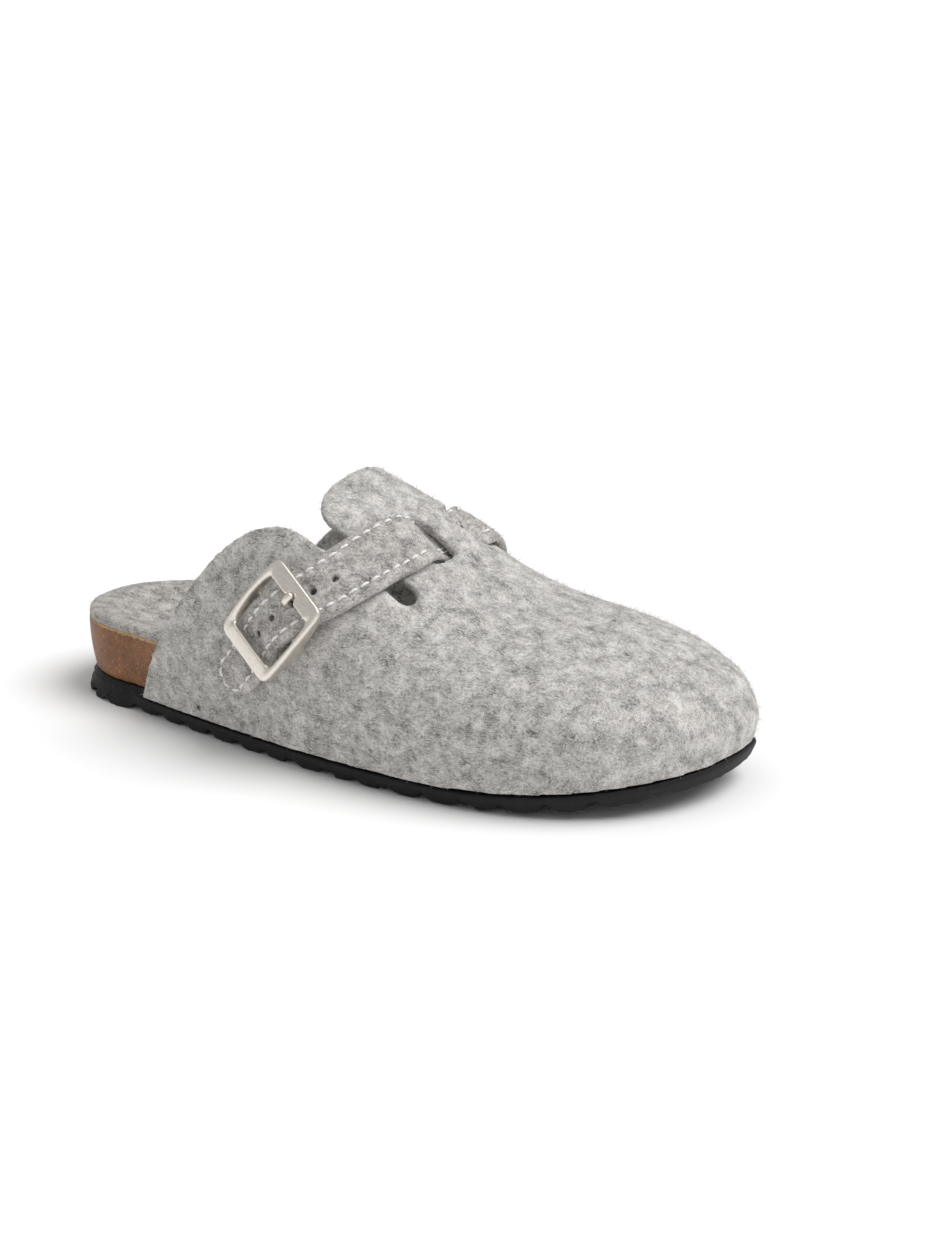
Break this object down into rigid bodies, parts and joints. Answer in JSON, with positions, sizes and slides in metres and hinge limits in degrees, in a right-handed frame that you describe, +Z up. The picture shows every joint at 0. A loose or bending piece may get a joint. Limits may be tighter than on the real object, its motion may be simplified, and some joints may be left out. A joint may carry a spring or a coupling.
{
  "type": "house slipper",
  "caption": "Felt clog slipper for the right foot with a contoured cork footbed, a foam outsole, and an instep strap that passes through slots and closes with a square buckle.",
  "frame": {"origin": "on the floor under the middle of the shoe's box", "axes": "+X to the toe, +Y to the inner (big toe) side, +Z up"},
  "size_m": [0.2644, 0.1148, 0.0927],
  "materials": {
    "outsole": "matte moulded EVA foam",
    "footbed": "sealed granulated cork",
    "lining": "mottled grey wool felt",
    "upper": "mottled grey wool felt",
    "strap": "mottled grey wool felt",
    "buckle_frame": "satin nickel plate",
    "buckle_prong": "satin nickel plate"
  },
  "bodies": {
    "root": {"outsole": "outsole", "footbed": "footbed", "lining": "lining", "upper": "upper", "strap": "strap", "buckle_frame": "buckle_frame", "buckle_prong": "buckle_prong"}
  },
  "joints": []
}
